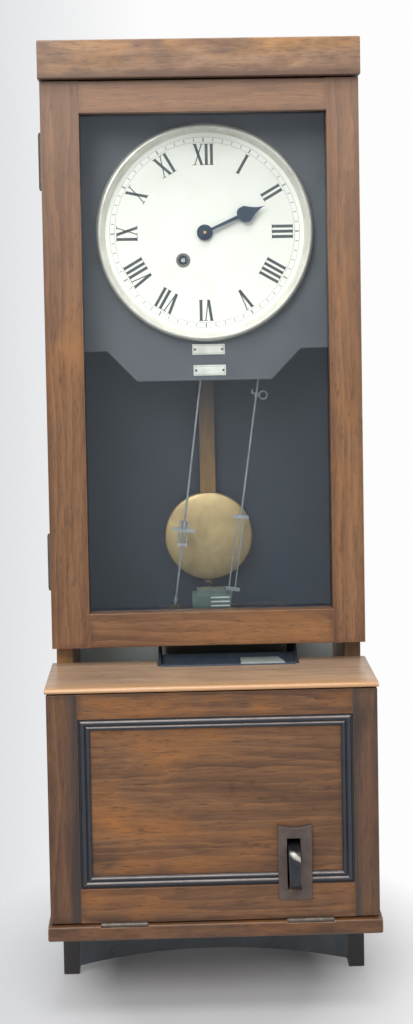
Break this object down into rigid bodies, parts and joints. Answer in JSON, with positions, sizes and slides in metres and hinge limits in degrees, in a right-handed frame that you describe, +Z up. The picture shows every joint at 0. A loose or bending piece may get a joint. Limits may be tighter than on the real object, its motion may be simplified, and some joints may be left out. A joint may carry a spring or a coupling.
{
  "type": "time clock",
  "caption": "Wall-hung employee time clock in an oak case with a round dial, a pendulum behind glass, and a card recorder with a print lever below",
  "frame": {"origin": "on the wall, at the middle of the four wall screws", "axes": "+X to the right seen from the front, +Y back to the wall, +Z up"},
  "size_m": [0.3577, 0.2817, 1.0516],
  "materials": {
    "case_oak": "aged satin oak",
    "inner_oak": "unpolished dark oak",
    "door_oak": "aged satin oak",
    "box_oak": "dark worn oak",
    "door_glass": "clear",
    "mask_paint": "matt dark grey paint",
    "dial_enamel": "satin off-white",
    "bezel_metal": "aged satin",
    "nameplate_metal": "satin",
    "blued_steel": "blued",
    "clock_brass": "satin",
    "bob_brass": "matt aged",
    "lath_wood": "matt",
    "bright_steel": "satin",
    "deck_metal": "satin",
    "bronze_plate": "aged bronze",
    "dark_iron": "dark worn"
  },
  "bodies": {
    "root": {"backboard": "inner_oak", "case_sides": "case_oak", "case_top": "case_oak", "foot_apron": "inner_oak", "cornice_fascias": "case_oak", "cornice_lid": "case_oak", "box_sides": "box_oak", "top_board": "case_oak", "base_board": "box_oak", "fixed_hinge_leaves": "bright_steel", "hinge_pins": "bright_steel", "mask_board": "mask_paint", "dial_plate": "dial_enamel", "dial_bezel": "bezel_metal", "nameplates": "nameplate_metal", "nameplate_screws": "clock_brass", "winding_grommet": "clock_brass", "front_plate": "clock_brass", "back_plate": "clock_brass", "movement_pillars": "clock_brass", "winding_click": "bright_steel", "suspension_cock": "clock_brass", "rod_guides": "clock_brass", "recorder_side_plates": "bright_steel", "recorder_deck": "deck_metal", "card_chute": "bright_steel", "recorder_shafts": "bright_steel", "lever_spring": "bright_steel"},
    "upper_door": {"door_stiles": "door_oak", "door_rails": "door_oak", "door_glass": "door_glass", "glazing_beads": "inner_oak", "door_hinge_leaves": "bright_steel"},
    "drop_front": {"flap_stiles": "box_oak", "flap_rails": "box_oak", "flap_panel": "box_oak", "panel_moulding": "box_oak", "escutcheon": "bronze_plate", "escutcheon_screws": "bright_steel", "flap_hinge_leaves": "bright_steel"},
    "minute_train": {"centre_wheel": "clock_brass", "cannon_pinion": "bright_steel", "minute_hand": "blued_steel"},
    "motion_work": {"minute_wheel": "clock_brass"},
    "hour_train": {"hour_wheel": "clock_brass", "hour_hand": "blued_steel"},
    "barrel": {"great_barrel": "clock_brass"},
    "winder": {"winding_arbor": "bright_steel"},
    "third": {"third_wheel": "clock_brass"},
    "escape": {"escape_wheel": "clock_brass"},
    "anchor_arbor": {"anchor": "bright_steel"},
    "pendulum": {"suspension_spring": "bright_steel", "pendulum_rod": "lath_wood", "pendulum_bob": "bob_brass", "rating_nut": "clock_brass"},
    "left_link": {"link_rod_left": "bright_steel"},
    "right_link": {"link_rod_right": "bright_steel"},
    "type_shaft": {"type_wheels": "dark_iron"},
    "lever": {"print_lever": "dark_iron"},
    "hammer": {"print_hammer": "dark_iron"}
  },
  "joints": [
    {"name": "upper_door_hinge", "type": "hinge", "parent": "root", "child": "upper_door", "pos_m": [-0.176, -0.1432, 0.15], "axis": [0, 0, -1], "range_deg": [0, 110]},
    {"name": "drop_front_hinge", "type": "hinge", "parent": "root", "child": "drop_front", "pos_m": [0, -0.2595, -0.444], "axis": [1, 0, 0], "range_deg": [0, 90]},
    {"name": "minute_turn", "type": "hinge", "parent": "root", "child": "minute_train", "pos_m": [0.0045, -0.08, 0.293], "axis": [0, 1, 0], "continuous": true},
    {"name": "motion_turn", "type": "hinge", "parent": "root", "child": "motion_work", "pos_m": [0.02147, -0.08, 0.30997], "axis": [0, 1, 0], "continuous": true},
    {"name": "hour_turn", "type": "hinge", "parent": "root", "child": "hour_train", "pos_m": [0.0045, -0.08, 0.293], "axis": [0, 1, 0], "continuous": true},
    {"name": "barrel_turn", "type": "hinge", "parent": "root", "child": "barrel", "pos_m": [-0.02056, -0.08, 0.26206], "axis": [0, 1, 0], "continuous": true},
    {"name": "winding_turn", "type": "hinge", "parent": "root", "child": "winder", "pos_m": [-0.02056, -0.08, 0.26206], "axis": [0, 1, 0], "continuous": true},
    {"name": "third_turn", "type": "hinge", "parent": "root", "child": "third", "pos_m": [0.0265, -0.08, 0.3176], "axis": [0, 1, 0], "continuous": true},
    {"name": "escape_turn", "type": "hinge", "parent": "root", "child": "escape", "pos_m": [0.0045, -0.08, 0.33265], "axis": [0, 1, 0], "continuous": true},
    {"name": "anchor_swing", "type": "hinge", "parent": "root", "child": "anchor_arbor", "pos_m": [0.0045, -0.08, 0.35505], "axis": [0, 1, 0], "range_deg": [-3, 3]},
    {"name": "pendulum_swing", "type": "hinge", "parent": "root", "child": "pendulum", "pos_m": [0.0045, -0.03, 0.35505], "axis": [0, 1, 0], "range_deg": [-3, 3]},
    {"name": "left_link_lift", "type": "slide", "parent": "root", "child": "left_link", "axis": [0.1288, 0, 0.9917], "range_m": [0, 0.006]},
    {"name": "right_link_lift", "type": "slide", "parent": "root", "child": "right_link", "axis": [0.1399, 0, 0.9902], "range_m": [0, 0.006]},
    {"name": "type_turn", "type": "hinge", "parent": "root", "child": "type_shaft", "pos_m": [0.021, -0.10871, -0.27843], "axis": [1, 0, 0], "continuous": true},
    {"name": "lever_press", "type": "hinge", "parent": "root", "child": "lever", "pos_m": [0.0842, -0.2, -0.364], "axis": [1, 0, 0], "range_deg": [0, 12], "stiffness_Nm_per_rad": 0.3, "springref_deg": -28.65},
    {"name": "hammer_strike", "type": "hinge", "parent": "root", "child": "hammer", "pos_m": [0.021, -0.11657, -0.34514], "axis": [-1, 0, 0], "range_deg": [0, 11]}
  ],
  "couplings": [
    {"joint": "motion_turn", "follows": "minute_turn", "ratio": -0.33333},
    {"joint": "hour_turn", "follows": "minute_turn", "ratio": 0.083333},
    {"joint": "barrel_turn", "follows": "minute_turn", "ratio": -0.16667},
    {"joint": "third_turn", "follows": "minute_turn", "ratio": -10},
    {"joint": "escape_turn", "follows": "minute_turn", "ratio": 92.5},
    {"joint": "anchor_swing", "follows": "pendulum_swing", "ratio": 1},
    {"joint": "hammer_strike", "follows": "lever_press", "ratio": 0.91667}
  ]
}
